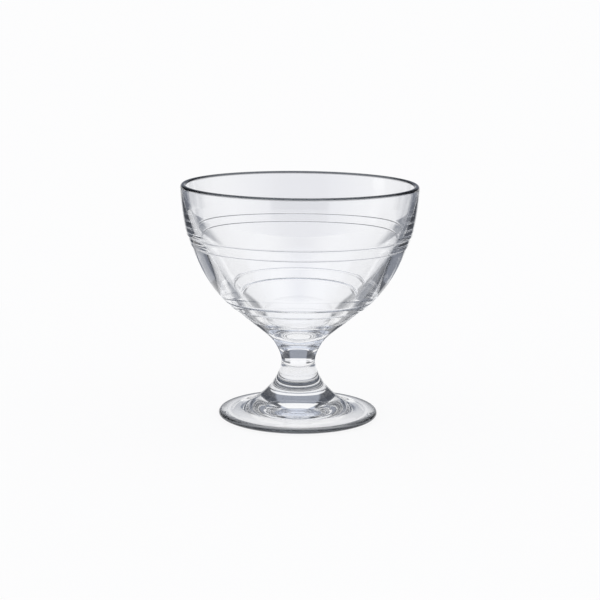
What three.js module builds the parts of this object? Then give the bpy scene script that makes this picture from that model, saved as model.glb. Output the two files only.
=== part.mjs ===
// A stemmed dessert cup in clear pressed glass: a thick-walled bowl, a waisted stem and a flared foot.
// The axis of the cup is +Z and the table is z = 0. Lengths are millimetres, slopes are degrees from upright.
import * as THREE from "three";

// Heights of the pieces, from the table up
const FOOT_HEIGHT = 13;
const STEM_LOWER_HEIGHT = 11.8;
const STEM_UPPER_HEIGHT = 9.2;
const BOWL_HEIGHT = 69;

// Foot
const FOOT_RADIUS = 35;
const FOOT_EDGE_TUCK = 4.2;
const FOOT_EDGE_RISE = 1.5;
const FOOT_EDGE_RADIUS = 1.4;
const FOOT_EDGE_SLOPE = 88;
const FOOT_HOLLOW_RADIUS = 29.5;
const FOOT_HOLLOW_DEPTH = 4;

// Stem, and the slopes with which it runs into the foot and the bowl
const STEM_FOOT_RADIUS = 12.8;
const STEM_FOOT_SLOPE = 44;
const WAIST_RADIUS = 7.4;
const STEM_BOWL_RADIUS = 11.2;
const STEM_BOWL_SLOPE = 39.5;

// Bowl, its lip and its inside
const RIM_RADIUS = 51.7;
const RIM_SLOPE = 2.5;
const LIP_RADIUS = 1.2;
const INSIDE_SLOPE = 3.2;
const FLOOR_THICKNESS = 3.5;

// Stepped rings on the outside of the bowl: below each ring the wall sits further in
const UPPER_RING_HEIGHT = 47;
const UPPER_RING_SPACING = 4.4;
const UPPER_RING_DEPTH = 0.42;
const UPPER_RING_GROOVE = 0.1;
const UPPER_RING_RAMP = 0.4;
const LOWER_RING_HEIGHT = 19.2;
const LOWER_RING_SPACING = 3.8;
const LOWER_RING_DEPTH = 0.14;
const LOWER_STEP_DEPTH = 0.65;
const LOWER_RING_GROOVE = 0.25;
const LOWER_RING_RAMP = 0.6;

// How far each end of a curve runs on along its slope, as a share of that stretch
const FOOT_EDGE_PULL = 0.52;
const FOOT_STEM_PULL = 0.53;
const STEM_FOOT_PULL = 0.12;
const WAIST_PULL = 0.4;
const STEM_BOWL_PULL = 0.11;
const BOWL_BASE_PULL = 0.221;
const BOWL_RIM_PULL = 0.72;
const INSIDE_RIM_PULL = 0.67;
const INSIDE_FLOOR_PULL = 0.16;

// Fineness of the faceted solids
const SECTORS = 56;
const FACET_LENGTH = 4.5;
const RAMP_STEPS = 4;
const ARC_STEPS = 8;

const stemBase = FOOT_HEIGHT;
const waistHeight = stemBase + STEM_LOWER_HEIGHT;
const bowlBase = waistHeight + STEM_UPPER_HEIGHT;
const rimHeight = bowlBase + BOWL_HEIGHT;

const point = (radius, height) => new THREE.Vector2(radius, height);
const radians = THREE.MathUtils.degToRad;

// A step of the given length that leans outwards from upright as it rises.
const leaning = (slope, length) => point(Math.sin(radians(slope)), Math.cos(radians(slope))).multiplyScalar(length);

// Points on a curve, about one facet length apart.
function facets(curve) {
  return curve.getSpacedPoints(Math.ceil(curve.getLength() / FACET_LENGTH));
}

// Points on an arc round a centre, between two angles in degrees. With a rise it is part of an ellipse.
function arc(centre, radius, from, to, rise = radius) {
  const path = new THREE.EllipseCurve(
    centre.x, centre.y, radius, rise, radians(from), radians(to), to < from,
  );
  return path.getPoints(ARC_STEPS);
}

// The glass that a closed profile sweeps out round the cup's axis.
function turned(name, profile, colour) {
  const clean = profile.filter((p, i) => i === 0 || p.distanceTo(profile[i - 1]) > 1e-4);
  const geometry = new THREE.LatheGeometry(clean, SECTORS);
  geometry.rotateX(Math.PI / 2);
  const glass = new THREE.MeshStandardMaterial({
    color: colour, roughness: 0.04, metalness: 0, transparent: true, opacity: 0.35,
  });
  const mesh = new THREE.Mesh(geometry, glass);
  mesh.name = name;
  return mesh;
}

// Foot: hollow underneath, a flat ring to stand on, an edge tucked in below and a flare up to the stem.
function foot() {
  const tuckCentre = point(FOOT_RADIUS - FOOT_EDGE_TUCK, FOOT_EDGE_RISE);
  const edgeCentre = point(FOOT_RADIUS - FOOT_EDGE_RADIUS, FOOT_EDGE_RISE);
  const hollow = new THREE.QuadraticBezierCurve(
    point(0, FOOT_HOLLOW_DEPTH),
    point(FOOT_HOLLOW_RADIUS / 2, FOOT_HOLLOW_DEPTH),
    point(FOOT_HOLLOW_RADIUS, 0),
  );
  const tuck = arc(tuckCentre, FOOT_EDGE_TUCK, -90, 0, FOOT_EDGE_RISE);
  const edge = arc(edgeCentre, FOOT_EDGE_RADIUS, 0, FOOT_EDGE_SLOPE);
  const edgeTop = edge.at(-1);
  const stemEnd = point(STEM_FOOT_RADIUS, FOOT_HEIGHT);
  const flare = new THREE.CubicBezierCurve(
    edgeTop,
    edgeTop.clone().add(leaning(-FOOT_EDGE_SLOPE, FOOT_EDGE_PULL * (FOOT_RADIUS - STEM_FOOT_RADIUS))),
    stemEnd.clone().sub(leaning(-STEM_FOOT_SLOPE, FOOT_STEM_PULL * (FOOT_HEIGHT - edgeTop.y))),
    stemEnd,
  );
  const profile = [...facets(hollow), ...tuck, ...edge, ...facets(flare), point(0, FOOT_HEIGHT)];
  return turned("foot", profile, 0xe6eaf0);
}

// Stem: drawn in to a waist, and opening out to the foot below and the bowl above.
function stem() {
  const low = point(STEM_FOOT_RADIUS, stemBase);
  const waist = point(WAIST_RADIUS, waistHeight);
  const high = point(STEM_BOWL_RADIUS, bowlBase);
  const lower = new THREE.CubicBezierCurve(
    low,
    low.clone().add(leaning(-STEM_FOOT_SLOPE, STEM_FOOT_PULL * STEM_LOWER_HEIGHT)),
    waist.clone().sub(leaning(0, WAIST_PULL * STEM_LOWER_HEIGHT)),
    waist,
  );
  const upper = new THREE.CubicBezierCurve(
    waist,
    waist.clone().add(leaning(0, WAIST_PULL * STEM_UPPER_HEIGHT)),
    high.clone().sub(leaning(STEM_BOWL_SLOPE, STEM_BOWL_PULL * STEM_UPPER_HEIGHT)),
    high,
  );
  return turned("stem", [point(0, stemBase), ...facets(lower), ...facets(upper), point(0, bowlBase)], 0xeceff4);
}

// The rings on the bowl, from the highest down, with the height of each one's upper edge.
const upperRing = bowlBase + UPPER_RING_HEIGHT;
const lowerRing = bowlBase + LOWER_RING_HEIGHT;
const rings = [
  { edge: upperRing, depth: UPPER_RING_DEPTH, groove: UPPER_RING_GROOVE, ramp: UPPER_RING_RAMP },
  {
    edge: upperRing - UPPER_RING_SPACING,
    depth: UPPER_RING_DEPTH,
    groove: UPPER_RING_GROOVE,
    ramp: UPPER_RING_RAMP,
  },
  { edge: lowerRing, depth: LOWER_RING_DEPTH, groove: LOWER_RING_GROOVE, ramp: LOWER_RING_RAMP },
  {
    edge: lowerRing - LOWER_RING_SPACING,
    depth: LOWER_STEP_DEPTH,
    groove: LOWER_RING_GROOVE,
    ramp: LOWER_RING_RAMP,
  },
];

// How far the rings have drawn the outside wall in at a height: each is a step with a fine groove in it.
function drawnIn(height) {
  return rings.reduce((sum, { edge, depth, groove, ramp }) => {
    const fall = THREE.MathUtils.clamp((edge - height) / ramp, 0, 1);
    return sum + depth * fall + 4 * groove * fall * (1 - fall);
  }, 0);
}

// The radius of a rising curve at a height.
function radiusAt(curve, height) {
  let low = 0;
  let high = 1;
  for (let i = 0; i < 40; i += 1) {
    const middle = (low + high) / 2;
    if (curve.getPoint(middle).y < height) low = middle;
    else high = middle;
  }
  return curve.getPoint(low).x;
}

// Outside wall of the bowl: one full curve from the stem to the lip, drawn in at the rings.
function bowlOutside(top) {
  const base = point(STEM_BOWL_RADIUS + drawnIn(bowlBase), bowlBase);
  const rise = top.y - base.y;
  const sweep = new THREE.CubicBezierCurve(
    base,
    base.clone().add(leaning(STEM_BOWL_SLOPE, BOWL_BASE_PULL * rise)),
    top.clone().sub(leaning(RIM_SLOPE, BOWL_RIM_PULL * rise)),
    top,
  );
  const breaks = rings.flatMap(({ edge, ramp }) => [edge, edge - ramp]).reverse();
  const stops = [base.y, ...breaks, top.y];
  const heights = stops.slice(1).flatMap((end, i) => {
    const start = stops[i];
    const onRamp = i % 2 === 1;
    const steps = onRamp ? RAMP_STEPS : Math.ceil((end - start) / FACET_LENGTH);
    return Array.from({ length: steps }, (_, k) => start + ((end - start) * k) / steps);
  });
  return [...heights, top.y].map((z) => point(radiusAt(sweep, z) - drawnIn(z), z));
}

// Inside of the bowl, from under the lip down to the floor on the axis.
function bowlInside(top) {
  const floor = point(0, bowlBase + FLOOR_THICKNESS);
  const depth = top.y - floor.y;
  return facets(new THREE.CubicBezierCurve(
    top,
    top.clone().sub(leaning(INSIDE_SLOPE, INSIDE_RIM_PULL * depth)),
    point(INSIDE_FLOOR_PULL * top.x, floor.y),
    floor,
  ));
}

// Bowl: the outside, the lip that rounds the wall off, and the inside.
function bowl() {
  const lipCentre = point(RIM_RADIUS - LIP_RADIUS, rimHeight - LIP_RADIUS);
  const lip = arc(lipCentre, LIP_RADIUS, -RIM_SLOPE, 180 - INSIDE_SLOPE);
  const profile = [point(0, bowlBase), ...bowlOutside(lip[0]), ...lip, ...bowlInside(lip.at(-1))];
  return turned("bowl", profile, 0xe9edf2);
}

const cup = new THREE.Group();
cup.name = "stemmed_dessert_cup";
cup.add(foot(), stem(), bowl());

export default cup;
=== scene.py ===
"""A stemmed dessert cup in clear pressed glass, in a bright studio."""
import math

import bpy
import bmesh
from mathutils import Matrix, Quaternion, Vector


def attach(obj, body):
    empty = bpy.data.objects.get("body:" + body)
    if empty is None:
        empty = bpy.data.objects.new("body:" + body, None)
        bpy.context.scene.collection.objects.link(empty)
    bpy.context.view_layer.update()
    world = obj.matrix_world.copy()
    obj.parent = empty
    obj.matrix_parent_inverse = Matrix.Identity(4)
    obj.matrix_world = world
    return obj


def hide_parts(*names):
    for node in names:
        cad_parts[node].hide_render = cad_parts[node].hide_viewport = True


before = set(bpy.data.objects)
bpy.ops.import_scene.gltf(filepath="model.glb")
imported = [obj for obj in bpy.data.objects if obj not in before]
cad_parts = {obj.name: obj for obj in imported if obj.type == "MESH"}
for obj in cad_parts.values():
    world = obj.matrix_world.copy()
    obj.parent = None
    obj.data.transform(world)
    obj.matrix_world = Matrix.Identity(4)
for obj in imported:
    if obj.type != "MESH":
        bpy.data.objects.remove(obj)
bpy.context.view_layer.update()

MM = 0.001

# Heights of the pieces, from the table up, in millimetres
FOOT_HEIGHT = 13
STEM_LOWER_HEIGHT = 11.8
STEM_UPPER_HEIGHT = 9.2
BOWL_HEIGHT = 69

# Foot, in millimetres and degrees from upright
FOOT_RADIUS = 35
FOOT_EDGE_TUCK = 4.2
FOOT_EDGE_RISE = 1.5
FOOT_EDGE_RADIUS = 1.4
FOOT_EDGE_SLOPE = 88
FOOT_HOLLOW_RADIUS = 29.5
FOOT_HOLLOW_DEPTH = 4

# Stem, and the slopes with which it runs into the foot and the bowl
STEM_FOOT_RADIUS = 12.8
STEM_FOOT_SLOPE = 44
WAIST_RADIUS = 7.4
STEM_BOWL_RADIUS = 11.2
STEM_BOWL_SLOPE = 39.5

# Bowl, its lip and its inside
RIM_RADIUS = 51.7
RIM_SLOPE = 2.5
LIP_RADIUS = 1.2
INSIDE_SLOPE = 3.2
FLOOR_THICKNESS = 3.5

# Stepped rings on the outside of the bowl
UPPER_RING_HEIGHT = 47
UPPER_RING_SPACING = 4.4
UPPER_RING_DEPTH = 0.42
UPPER_RING_GROOVE = 0.1
UPPER_RING_RAMP = 0.4
LOWER_RING_HEIGHT = 19.2
LOWER_RING_SPACING = 3.8
LOWER_RING_DEPTH = 0.14
LOWER_STEP_DEPTH = 0.65
LOWER_RING_GROOVE = 0.25
LOWER_RING_RAMP = 0.6

# A share times the rest of it peaks half way: what the depth of a groove is divided by
GROOVE_PEAK = 0.25

# How far each end of a curve runs on along its slope, as a share of that stretch
FOOT_EDGE_PULL = 0.52
FOOT_STEM_PULL = 0.53
STEM_FOOT_PULL = 0.12
WAIST_PULL = 0.4
STEM_BOWL_PULL = 0.11
BOWL_BASE_PULL = 0.221
BOWL_RIM_PULL = 0.72
INSIDE_RIM_PULL = 0.67
INSIDE_FLOOR_PULL = 0.16

# Fineness of the glass surfaces
SECTORS = 288
CURVE_STEP = 0.6
RAMP_STEP = 0.05
SEARCH_STEP = 0.01
ARC_STEPS = 24
HOLLOW_STEPS = 48
SAME_PLACE = 1e-6

STEM_BASE = FOOT_HEIGHT
WAIST_HEIGHT = STEM_BASE + STEM_LOWER_HEIGHT
BOWL_BASE = WAIST_HEIGHT + STEM_UPPER_HEIGHT
RIM_HEIGHT = BOWL_BASE + BOWL_HEIGHT


class Signal:
    """A node's output, so that sums on it add Math nodes."""

    def __init__(self, wiring, socket):
        self.wiring = wiring
        self.socket = socket

    def math(self, operation, *values):
        return self.wiring.add("ShaderNodeMath", {"operation": operation}, dict(enumerate(values)))

    def __add__(self, other):
        return self.math("ADD", self, other)

    def __sub__(self, other):
        return self.math("SUBTRACT", self, other)

    def __rsub__(self, other):
        return self.math("SUBTRACT", other, self)

    def __mul__(self, other):
        return self.math("MULTIPLY", self, other)

    def __truediv__(self, other):
        return self.math("DIVIDE", self, other)

    def most(self, other):
        return self.math("MAXIMUM", self, other)

    def floor(self):
        return self.math("FLOOR", self)


class Wiring:
    """Builds the nodes of one tree."""

    def __init__(self, tree):
        self.tree = tree
        tree.nodes.clear()

    def add(self, kind, settings=None, sockets=None, output=0):
        """Adds a node and gives one of its outputs.

        Its settings come first, then the values or links of its sockets.
        """
        node = self.tree.nodes.new(kind)
        for name, value in (settings or {}).items():
            setattr(node, name, value)
        for name, value in (sockets or {}).items():
            self.feed(self.socket(node.inputs, name), value)
        if not node.outputs:
            return None
        return Signal(self, self.socket(node.outputs, output))

    @staticmethod
    def socket(sockets, name):
        """A socket by its place, its identifier or its name."""
        if isinstance(name, int):
            return sockets[name]
        return next((s for s in sockets if s.identifier == name), None) or sockets[name]

    def feed(self, socket, value):
        if isinstance(value, Signal):
            self.tree.links.new(value.socket, socket)
        else:
            socket.default_value = value

    def ease(self, value, start, end):
        """0 before start, 1 after end, and smooth between them."""
        return self.add(
            "ShaderNodeMapRange",
            {"interpolation_type": "SMOOTHSTEP"},
            {"Value": value, "From Min": start, "From Max": end},
        )

    def between(self, value, start, end, soft):
        """1 between two values, and smooth over a soft edge at each."""
        above = self.ease(value, start - soft / 2, start + soft / 2)
        return above * (1 - self.ease(value, end - soft / 2, end + soft / 2))

    def parts(self, vector, names):
        """The parts of a vector along the named axes."""
        return [self.add("ShaderNodeSeparateXYZ", None, {"Vector": vector}, name) for name in names]

    def blend(self, factor, first, second):
        """A colour between two."""
        return self.add(
            "ShaderNodeMix",
            {"data_type": "RGBA"},
            {"Factor_Float": factor, "A_Color": first, "B_Color": second},
            "Result_Color",
        )


# Profiles: points as (radius, height) in millimetres

def leaning(slope, length):
    """A step of the given length that leans outwards from upright as it rises."""
    return Vector((math.sin(math.radians(slope)), math.cos(math.radians(slope)))) * length


def sweep(start, start_pull, end_pull, end, step=CURVE_STEP):
    """Points on a cubic curve between two ends, about one step apart."""
    reach = (start - start_pull).length + (start_pull - end_pull).length + (end_pull - end).length
    count = math.ceil(reach / step)
    points = []
    for i in range(count + 1):
        t = i / count
        u = 1 - t
        points.append(
            start * u ** 3 + start_pull * 3 * u * u * t + end_pull * 3 * u * t * t + end * t ** 3
        )
    return points


def arc(centre, radius, start, end, rise=None):
    """Points on an arc round a centre, between two angles in degrees.

    With a rise it is part of an ellipse.
    """
    angles = [math.radians(start + (end - start) * i / ARC_STEPS) for i in range(ARC_STEPS + 1)]
    return [centre + Vector((math.cos(a) * radius, math.sin(a) * (rise or radius))) for a in angles]


def foot_profile():
    shares = [i / HOLLOW_STEPS for i in range(HOLLOW_STEPS + 1)]
    hollow = [Vector((FOOT_HOLLOW_RADIUS * t, FOOT_HOLLOW_DEPTH * (1 - t * t))) for t in shares]
    tuck_centre = Vector((FOOT_RADIUS - FOOT_EDGE_TUCK, FOOT_EDGE_RISE))
    tuck = arc(tuck_centre, FOOT_EDGE_TUCK, -90, 0, FOOT_EDGE_RISE)
    edge_centre = Vector((FOOT_RADIUS - FOOT_EDGE_RADIUS, FOOT_EDGE_RISE))
    edge = arc(edge_centre, FOOT_EDGE_RADIUS, 0, FOOT_EDGE_SLOPE)
    edge_top = edge[-1]
    stem_end = Vector((STEM_FOOT_RADIUS, FOOT_HEIGHT))
    flare = sweep(
        edge_top,
        edge_top + leaning(-FOOT_EDGE_SLOPE, FOOT_EDGE_PULL * (FOOT_RADIUS - STEM_FOOT_RADIUS)),
        stem_end - leaning(-STEM_FOOT_SLOPE, FOOT_STEM_PULL * (FOOT_HEIGHT - edge_top.y)),
        stem_end,
    )
    return [*hollow, *tuck, *edge, *flare, Vector((0, FOOT_HEIGHT))]


def stem_profile():
    low = Vector((STEM_FOOT_RADIUS, STEM_BASE))
    waist = Vector((WAIST_RADIUS, WAIST_HEIGHT))
    high = Vector((STEM_BOWL_RADIUS, BOWL_BASE))
    lower = sweep(
        low,
        low + leaning(-STEM_FOOT_SLOPE, STEM_FOOT_PULL * STEM_LOWER_HEIGHT),
        waist - leaning(0, WAIST_PULL * STEM_LOWER_HEIGHT),
        waist,
    )
    upper = sweep(
        waist,
        waist + leaning(0, WAIST_PULL * STEM_UPPER_HEIGHT),
        high - leaning(STEM_BOWL_SLOPE, STEM_BOWL_PULL * STEM_UPPER_HEIGHT),
        high,
    )
    return [Vector((0, STEM_BASE)), *lower, *upper, Vector((0, BOWL_BASE))]


UPPER_RING = BOWL_BASE + UPPER_RING_HEIGHT
LOWER_RING = BOWL_BASE + LOWER_RING_HEIGHT
RINGS = [
    (UPPER_RING, UPPER_RING_DEPTH, UPPER_RING_GROOVE, UPPER_RING_RAMP),
    (UPPER_RING - UPPER_RING_SPACING, UPPER_RING_DEPTH, UPPER_RING_GROOVE, UPPER_RING_RAMP),
    (LOWER_RING, LOWER_RING_DEPTH, LOWER_RING_GROOVE, LOWER_RING_RAMP),
    (LOWER_RING - LOWER_RING_SPACING, LOWER_STEP_DEPTH, LOWER_RING_GROOVE, LOWER_RING_RAMP),
]


def drawn_in(height):
    """How far the rings have drawn the outside wall in at a height.

    Each ring is a step with a fine groove in it.
    """
    total = 0
    for edge, depth, groove, ramp in RINGS:
        fall = min(max((edge - height) / ramp, 0), 1)
        total += depth * fall + groove * fall * (1 - fall) / GROOVE_PEAK
    return total


def radius_at(points, height):
    """The radius of a rising run of points at a height."""
    for low, high in zip(points, points[1:]):
        if height <= high.y:
            share = (height - low.y) / (high.y - low.y)
            return low.x + share * (high.x - low.x)
    return points[-1].x


def bowl_outside(top):
    base = Vector((STEM_BOWL_RADIUS + drawn_in(BOWL_BASE), BOWL_BASE))
    rise = top.y - base.y
    curve = sweep(
        base,
        base + leaning(STEM_BOWL_SLOPE, BOWL_BASE_PULL * rise),
        top - leaning(RIM_SLOPE, BOWL_RIM_PULL * rise),
        top,
        step=SEARCH_STEP,
    )
    stops = [base.y]
    for edge, *_, ramp in reversed(RINGS):
        stops += [edge - ramp, edge]
    stops.append(top.y)
    heights = []
    for i, (start, end) in enumerate(zip(stops, stops[1:])):
        step = RAMP_STEP if i % 2 else CURVE_STEP
        count = math.ceil((end - start) / step)
        heights += [start + (end - start) * k / count for k in range(count)]
    return [Vector((radius_at(curve, z) - drawn_in(z), z)) for z in [*heights, top.y]]


def bowl_profile():
    lip_centre = Vector((RIM_RADIUS - LIP_RADIUS, RIM_HEIGHT - LIP_RADIUS))
    lip = arc(lip_centre, LIP_RADIUS, -RIM_SLOPE, 180 - INSIDE_SLOPE)
    inside_top = lip[-1]
    floor = Vector((0, BOWL_BASE + FLOOR_THICKNESS))
    depth = inside_top.y - floor.y
    inside = sweep(
        inside_top,
        inside_top - leaning(INSIDE_SLOPE, INSIDE_RIM_PULL * depth),
        Vector((INSIDE_FLOOR_PULL * inside_top.x, floor.y)),
        floor,
    )
    return [Vector((0, BOWL_BASE)), *bowl_outside(lip[0]), *lip, *inside]


# Glass and seams

def new_material(name):
    material = bpy.data.materials.new(name)
    material.use_nodes = True
    return material, Wiring(material.node_tree)


def from_axis(x, y):
    """The distance from the cup's axis."""
    return x.math("SQRT", x * x + y * y)


def from_far_side(x, y):
    """The turn from the far side of the cup, in degrees."""
    return x.math("ARCTAN2", x, y) * math.degrees(1)


CLEAR = (1, 1, 1, 1)
# Painted shade: a near-black tint that darkens the lip and the foot's edge, standing in for the dark line
# that the glass shows there
PAINTED_EDGE_SHADE = (0.018, 0.021, 0.025, 1)
GLASS_INDEX = 1.52
WAVE_HEIGHT = 0.00002
DRIFT_SCALE = 24
HAZE_SCALE = 160
HAZE_START = 0.55
HAZE_FULL = 0.9
HAZE_ROUGHNESS = 0.03
SEAM_COLOUR = (0.97, 0.98, 0.98, 1)
SEAM_ROUGHNESS = 0.05


def above_height(wiring, place, start, end):
    """0 below one height and 1 above another, in millimetres."""
    [height] = wiring.parts(place, "Z")
    return wiring.ease(height, start * MM, end * MM)


def beyond_radius(wiring, place, start, end):
    """0 inside one radius of the cup's axis and 1 outside another, in millimetres."""
    return wiring.ease(from_axis(*wiring.parts(place, "XY")), start * MM, end * MM)


def clear_glass(name, tint, wave_scale, edge=None):
    """Pressed glass: clear, with a faint drift of tint, a fire-polished gloss and slow waves.

    An edge is a test of the place and two lengths in millimetres, between which the glass is painted dark:
    painted shade for the dark line that the glass's rounded edge shows where it bends in light from dark
    surroundings.
    """
    material, wiring = new_material(name)
    place = wiring.add("ShaderNodeTexCoord", output="Object")
    drift = wiring.add("ShaderNodeTexNoise", None, {"Vector": place, "Scale": DRIFT_SCALE, "Detail": 2})
    haze = wiring.add("ShaderNodeTexNoise", None, {"Vector": place, "Scale": HAZE_SCALE, "Detail": 3})
    wave = wiring.add("ShaderNodeTexNoise", None, {"Vector": place, "Scale": wave_scale, "Detail": 1})
    waves = wiring.add("ShaderNodeBump", None, {"Height": wave, "Distance": WAVE_HEIGHT, "Strength": 1})
    colour = wiring.blend(drift, tint, CLEAR)
    if edge:
        on_edge, start, end = edge
        # Painted shade: the glass is tinted near-black towards its edge
        colour = wiring.blend(on_edge(wiring, place, start, end), colour, PAINTED_EDGE_SHADE)
    surface = wiring.add(
        "ShaderNodeBsdfPrincipled",
        None,
        {
            "Base Color": colour,
            "Roughness": wiring.ease(haze, HAZE_START, HAZE_FULL) * HAZE_ROUGHNESS,
            "IOR": GLASS_INDEX,
            "Transmission Weight": 1,
            "Normal": waves,
        },
    )
    wiring.add("ShaderNodeOutputMaterial", None, {"Surface": surface})
    return material


def fused_seam(name):
    """Where two pieces were joined hot: the glass runs on with no surface between them."""
    material, wiring = new_material(name)
    surface = wiring.add(
        "ShaderNodeBsdfPrincipled",
        None,
        {"Base Color": SEAM_COLOUR, "Roughness": SEAM_ROUGHNESS, "Alpha": 0},
    )
    wiring.add("ShaderNodeOutputMaterial", None, {"Surface": surface})
    return material


def turning_tree():
    """Turns a profile round the cup's axis, and gives the glass and the seams their materials."""
    tree = bpy.data.node_groups.new("turned_glass", "GeometryNodeTree")
    inputs = [
        ("Profile", "NodeSocketGeometry"),
        ("Sectors", "NodeSocketInt"),
        ("Lower Seam", "NodeSocketFloat"),
        ("Upper Seam", "NodeSocketFloat"),
        ("Glass", "NodeSocketMaterial"),
        ("Seam", "NodeSocketMaterial"),
    ]
    for name, kind in inputs:
        tree.interface.new_socket(name, in_out="INPUT", socket_type=kind)
    tree.interface.new_socket("Turned", in_out="OUTPUT", socket_type="NodeSocketGeometry")
    wiring = Wiring(tree)
    given = tree.nodes.new("NodeGroupInput")
    profile, sectors, lower_seam, upper_seam, glass, seam = [
        Signal(wiring, socket) for socket in given.outputs[:len(inputs)]
    ]
    points = wiring.add(
        "GeometryNodeAttributeDomainSize", {"component": "MESH"}, {"Geometry": profile}, "Point Count"
    )
    columns = sectors + 1
    grid = wiring.add("GeometryNodeMeshGrid", None, {"Vertices X": points, "Vertices Y": columns}, "Mesh")
    index = wiring.add("GeometryNodeInputIndex")
    row = (index / columns).floor()
    turn = (index - row * columns) / sectors * math.tau
    place = wiring.add("GeometryNodeInputPosition")
    spot = wiring.add(
        "GeometryNodeSampleIndex",
        {"data_type": "FLOAT_VECTOR", "domain": "POINT"},
        {"Geometry": profile, "Value": place, "Index": row},
    )
    turned_spot = wiring.add(
        "ShaderNodeVectorRotate", {"rotation_type": "Z_AXIS"}, {"Vector": spot, "Angle": turn}
    )
    swept = wiring.add("GeometryNodeSetPosition", None, {"Geometry": grid, "Position": turned_spot})
    closed = wiring.add("GeometryNodeMergeByDistance", None, {"Geometry": swept, "Distance": SAME_PLACE})
    [height] = wiring.parts(place, "Z")
    on_lower = height.math("COMPARE", height, lower_seam, SAME_PLACE)
    on_upper = height.math("COMPARE", height, upper_seam, SAME_PLACE)
    on_seam = on_lower.most(on_upper)
    smooth = wiring.add(
        "GeometryNodeSetShadeSmooth", {"domain": "FACE"}, {"Geometry": closed, "Shade Smooth": 1 - on_seam}
    )
    whole = wiring.add("GeometryNodeRealizeInstances", None, {"Geometry": smooth})
    glazed = wiring.add("GeometryNodeSetMaterial", None, {"Geometry": whole, "Material": glass})
    joined = wiring.add(
        "GeometryNodeSetMaterial", None, {"Geometry": glazed, "Selection": on_seam, "Material": seam}
    )
    wiring.add("NodeGroupOutput", None, {0: joined})
    return tree


def turned(name, tree, profile, lower_seam, upper_seam, glass, seam):
    """One piece of the cup as a plain closed mesh."""
    points = [(p.x * MM, 0, p.y * MM) for p in profile]
    kept = [p for i, p in enumerate(points) if i == 0 or math.dist(p, points[i - 1]) > SAME_PLACE]
    line = bpy.data.meshes.new(name + "_profile")
    line.from_pydata(kept, [(i, i + 1) for i in range(len(kept) - 1)], [])
    former = bpy.data.objects.new(name + "_former", line)
    bpy.context.scene.collection.objects.link(former)
    modifier = former.modifiers.new("turn", "NODES")
    modifier.node_group = tree
    sizes = {
        "Sectors": SECTORS,
        "Lower Seam": lower_seam * MM,
        "Upper Seam": upper_seam * MM,
        "Glass": glass,
        "Seam": seam,
    }
    for socket in tree.interface.items_tree:
        if socket.name in sizes:
            modifier[socket.identifier] = sizes[socket.name]
    graph = bpy.context.evaluated_depsgraph_get()
    mesh = bpy.data.meshes.new_from_object(former.evaluated_get(graph))
    bpy.data.objects.remove(former)
    mesh.name = name
    shell = bmesh.new()
    shell.from_mesh(mesh)
    if shell.calc_volume(signed=True) < 0:
        bmesh.ops.reverse_faces(shell, faces=shell.faces)
    shell.to_mesh(mesh)
    shell.free()
    piece = bpy.data.objects.new(name, mesh)
    bpy.context.scene.collection.objects.link(piece)
    return piece


# Tints of the pieces and the scale of their waves
BOWL_TINT = (0.965, 0.97, 0.98, 1)
THICK_TINT = (0.96, 0.967, 0.978, 1)
BOWL_WAVES = 30
STEM_WAVES = 40
FOOT_WAVES = 34

# Where the painted shade on the edges begins and is full: under the rim, and out from the foot's axis. It
# paints the dark line that bent light gives the lip and the foot's edge.
LIP_SHADE_START = 1.4
LIP_SHADE_FULL = 0.6
FOOT_SHADE_START = 31
FOOT_SHADE_FULL = 35.1
LIP_EDGE = (above_height, RIM_HEIGHT - LIP_SHADE_START, RIM_HEIGHT - LIP_SHADE_FULL)
FOOT_EDGE = (beyond_radius, FOOT_SHADE_START, FOOT_SHADE_FULL)

# A height at which no piece has a face
NO_SEAM = -100

tree = turning_tree()
seam = fused_seam("fused_seam")
bowl_glass = clear_glass("bowl_glass", BOWL_TINT, BOWL_WAVES, LIP_EDGE)
stem_glass = clear_glass("stem_glass", THICK_TINT, STEM_WAVES)
foot_glass = clear_glass("foot_glass", THICK_TINT, FOOT_WAVES, FOOT_EDGE)

bowl = turned("clear_bowl", tree, bowl_profile(), BOWL_BASE, NO_SEAM, bowl_glass, seam)
stem = turned("waisted_stem", tree, stem_profile(), STEM_BASE, BOWL_BASE, stem_glass, seam)
foot = turned("flared_foot", tree, foot_profile(), NO_SEAM, STEM_BASE, foot_glass, seam)

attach(bowl, "root")
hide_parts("bowl")
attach(stem, "root")
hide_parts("stem")
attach(foot, "root")
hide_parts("foot")

# Studio, as the glass shows it: a lit far wall with grey cards beside it, and a dark wall and lights above

COOL = (0.93, 1, 1.17)


def grey(level):
    """The cool grey of the studio at a level of light."""
    return (*[share * level for share in COOL], 1)


WHITE = (0.98, 0.98, 0.985, 1)
LIT = (0.982, 0.985, 1, 1)
PALE = (0.88, 0.885, 0.92, 1)
AMBIENT = (1, 1, 1, 1)
BEHIND = grey(0.1)

# A board: its middle and half width round from the far side, its lower and upper edge, and its colour.
# All are degrees. Down and up lie past the ends of the scale, so that a board has no edge there.
TURN_SOFT = 4
RISE_SOFT = 3
DOWN = -100
UP = 100
BOARDS = [
    (0, 150, DOWN, UP, grey(0.24)),  # grey room
    (0, 75, -4, UP, grey(0.07)),  # dark wall over the horizon
    (0, 125, 38, UP, grey(0.5)),  # grey ceiling
    (0, 27, 30, UP, WHITE),  # light box high on the far side
    (0, 200, 58, UP, grey(0.8)),  # light overhead
    (90, 62, DOWN, -7, WHITE),  # lit side on the right
    (-90, 62, DOWN, -7, WHITE),  # lit side on the left
    (0, 72, DOWN, -7, grey(0.22)),  # grey cards on the far side
    (0, 20, DOWN, 32, grey(0.31)),  # grey wall over the lit one
    (0, 40, -5, 2, LIT),  # lit strip along the horizon
    (0, 19, DOWN, 3, LIT),  # lit far wall
    (-90, 8, DOWN, 2, WHITE),  # lit strip on the left
    (-45, 13, DOWN, -18, LIT),  # gap in the left card
    (0, 2.4, DOWN, -6, PALE),  # softer middle of the far wall
]

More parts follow.
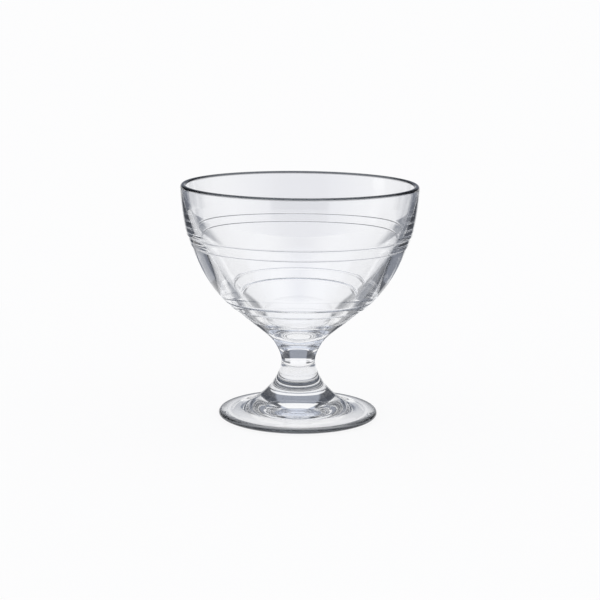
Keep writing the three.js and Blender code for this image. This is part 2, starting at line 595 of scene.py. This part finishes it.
# A card on the table is given the same way, but with its distances from the cup's axis in millimetres.
# Middle and end lie past the axis and the table's edge.
TABLE_TURN_SOFT = 6
TABLE_SOFT = 14
MIDDLE = -50
END = 400
CARDS = [
    (0, 72, 64, END, grey(0.22)),  # grey card on the far side
    (0, 38, 105, 215, LIT),  # white paper on it
    (0, 50, 60, 118, grey(0.1)),  # dark card near the cup
    (0, 19, MIDDLE, END, LIT),  # white strip straight behind the cup
    (-45, 13, 84, END, LIT),  # gap on the left
    (0, 2.4, 150, END, PALE),  # softer middle of the strip
]


def painted(wiring, turn, reach, base, boards, turn_soft, reach_soft):
    """A base colour with boards over it, each between two reaches and so far round from its middle."""
    colour = base
    for middle, half, low, high, paint in boards:
        round_by = turn.math("ABSOLUTE", turn.math("WRAP", turn - middle, 180, -180))
        across = 1 - wiring.ease(round_by, half - turn_soft / 2, half + turn_soft / 2)
        along = wiring.between(reach, low, high, reach_soft)
        colour = wiring.blend(across * along, colour, paint)
    return colour


def shown_to_glass(wiring):
    """Rays that the camera sees straight, and those that it sees in a reflection or through glass."""
    straight, glossy, through = [
        wiring.add("ShaderNodeLightPath", output=name)
        for name in ("Is Camera Ray", "Is Glossy Ray", "Is Transmission Ray")
    ]
    return straight, glossy.most(through)


def studio_world():
    world = bpy.data.worlds.new("bright_studio")
    bpy.context.scene.world = world
    world.use_nodes = True
    wiring = Wiring(world.node_tree)
    x, y, z = wiring.parts(wiring.add("ShaderNodeTexCoord", output="Generated"), "XYZ")
    turn = from_far_side(x, y)
    rise = z.math("ARCSINE", z) * math.degrees(1)
    seen = painted(wiring, turn, rise, BEHIND, BOARDS, TURN_SOFT, RISE_SOFT)
    straight, glassy = shown_to_glass(wiring)
    colour = wiring.blend(straight, wiring.blend(glassy, AMBIENT, seen), WHITE)
    light = wiring.add("ShaderNodeBackground", None, {"Color": colour, "Strength": 1})
    wiring.add("ShaderNodeOutputWorld", None, {"Surface": light})


FLOOR_RADIUS = 0.3
FLOOR_SEGMENTS = 96
FLOOR_SHADE = 0.1


def table_top():
    """A round white table top that keeps a soft shadow of the cup."""
    shape = bmesh.new()
    bmesh.ops.create_circle(shape, cap_ends=True, segments=FLOOR_SEGMENTS, radius=FLOOR_RADIUS)
    mesh = bpy.data.meshes.new("table_top")
    shape.to_mesh(mesh)
    shape.free()
    floor = bpy.data.objects.new("table_top", mesh)
    bpy.context.scene.collection.objects.link(floor)
    material, wiring = new_material("white_table")
    x, y = wiring.parts(wiring.add("ShaderNodeTexCoord", output="Object"), "XY")
    turn = from_far_side(x, y)
    distance = from_axis(x, y) / MM
    seen = painted(wiring, turn, distance, WHITE, CARDS, TABLE_TURN_SOFT, TABLE_SOFT)
    straight, glassy = shown_to_glass(wiring)
    lit = wiring.add("ShaderNodeBsdfDiffuse", None, {"Color": WHITE})
    glow = wiring.add(
        "ShaderNodeEmission", None, {"Color": wiring.blend(straight, seen, WHITE), "Strength": 1}
    )
    surface = wiring.add(
        "ShaderNodeMixShader", None, {0: straight.most(glassy) * (1 - FLOOR_SHADE), 1: lit, 2: glow}
    )
    wiring.add("ShaderNodeOutputMaterial", None, {"Surface": surface})
    mesh.materials.append(material)


studio_world()
table_top()

# Camera: long lens, a little above the rim, turned slightly about its line of sight
CAMERA_PLACE = Vector((0.0005, -0.700, 0.1851))
CAMERA_TARGET = Vector((0.0005, 0, 0.0518))
CAMERA_ROLL = 0.57
CAMERA_LENS = 97.58
CAMERA_SENSOR = 36

camera_data = bpy.data.cameras.new("camera")
camera_data.lens = CAMERA_LENS
camera_data.sensor_width = CAMERA_SENSOR
camera = bpy.data.objects.new("camera", camera_data)
bpy.context.scene.collection.objects.link(camera)
camera.location = CAMERA_PLACE
aim = (CAMERA_TARGET - CAMERA_PLACE).to_track_quat("-Z", "Y")
roll = Quaternion((0, 0, 1), math.radians(CAMERA_ROLL))
camera.rotation_euler = (aim @ roll).to_euler()
bpy.context.scene.camera = camera

# Light turns many times inside the glass before it leaves
GLASS_BOUNCES = 32
GLOSSY_BOUNCES = 24

scene = bpy.context.scene
scene.view_settings.view_transform = "Standard"
scene.cycles.max_bounces = GLASS_BOUNCES
scene.cycles.glossy_bounces = GLOSSY_BOUNCES
scene.cycles.transmission_bounces = GLASS_BOUNCES
scene.cycles.transparent_max_bounces = GLASS_BOUNCES
